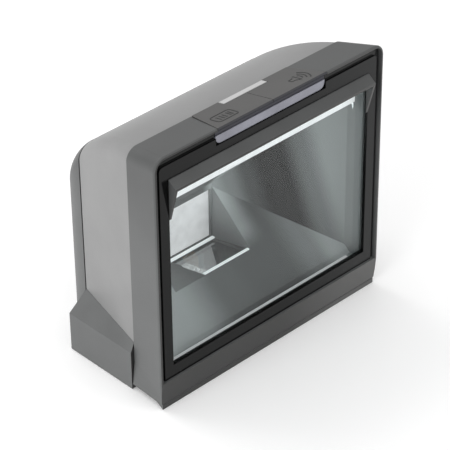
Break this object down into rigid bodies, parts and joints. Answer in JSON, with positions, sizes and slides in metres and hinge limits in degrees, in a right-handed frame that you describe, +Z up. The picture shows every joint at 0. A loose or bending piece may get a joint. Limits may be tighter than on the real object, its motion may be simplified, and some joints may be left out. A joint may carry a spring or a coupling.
{
  "type": "counter presentation barcode scanner",
  "caption": "Upright counter barcode scanner with a large front window, arched housing, side feet and push buttons in its top.",
  "frame": {"origin": "centre of the footprint on the counter top", "axes": "+Z up, the window faces -Y, +X to the right seen from the front"},
  "size_m": [0.1516, 0.099, 0.1444],
  "materials": {
    "dark_case": "fine satin texture",
    "light_case": "fine satin texture",
    "gloss_black": "gloss",
    "navy_baffle": "satin",
    "button": "satin",
    "silver_strip": "satin paint",
    "window_glass": "clear",
    "rubber": "matte",
    "indicator": "translucent",
    "funnel_grey": "satin",
    "white_diffuser": "satin",
    "clear_pane": "clear",
    "mirror": "polished",
    "steel": "plated",
    "circuit_board": "solder resist",
    "led": "moulded",
    "chip": "moulded",
    "black_plastic": "moulded",
    "brass": "turned",
    "ribbon": "film",
    "label": "film"
  },
  "bodies": {
    "root": {"front_bezel": "dark_case", "rear_cover": "dark_case", "foot_left": "dark_case", "foot_right": "dark_case", "bottom_plate": "dark_case", "middle_housing": "light_case", "front_panel": "gloss_black", "top_trim_strip": "silver_strip", "window_glass": "window_glass", "window_gasket": "rubber", "rubber_feet": "rubber", "indicator_lens": "indicator", "optic_shroud": "funnel_grey", "diffuser_panel": "white_diffuser", "camera_window": "clear_pane", "fold_mirror": "mirror", "mirror_clips": "steel", "upper_light_bar": "white_diffuser", "lower_light_bar": "white_diffuser", "upper_led_board": "circuit_board", "lower_led_board": "circuit_board", "upper_leds": "led", "lower_leds": "led", "camera_board": "circuit_board", "image_sensor": "chip", "lens_holder": "black_plastic", "lens_barrel": "black_plastic", "front_lens": "clear_pane", "main_board": "circuit_board", "processor_chip": "chip", "shield_can": "steel", "board_standoffs": "brass", "board_screws": "steel", "interface_board": "circuit_board", "interface_jack": "black_plastic", "aux_jack": "black_plastic", "power_jack": "black_plastic", "speaker": "chip", "speaker_bracket": "black_plastic", "button_board": "circuit_board", "button_switches": "black_plastic", "status_leds": "led", "camera_ribbon": "ribbon", "window_hood": "dark_case", "lens_baffle": "navy_baffle", "camera_screws": "steel", "threaded_inserts": "brass", "label_plate": "label"},
    "left_button": {"button_left": "button"},
    "right_button": {"button_right": "button"}
  },
  "joints": [
    {"name": "left_button_press", "type": "slide", "parent": "root", "child": "left_button", "axis": [0, 0, -1], "range_m": [0, 0.0008], "stiffness_N_per_m": 900, "springref_m": -0.0004},
    {"name": "right_button_press", "type": "slide", "parent": "root", "child": "right_button", "axis": [0, 0, -1], "range_m": [0, 0.0008], "stiffness_N_per_m": 900, "springref_m": -0.0004}
  ]
}
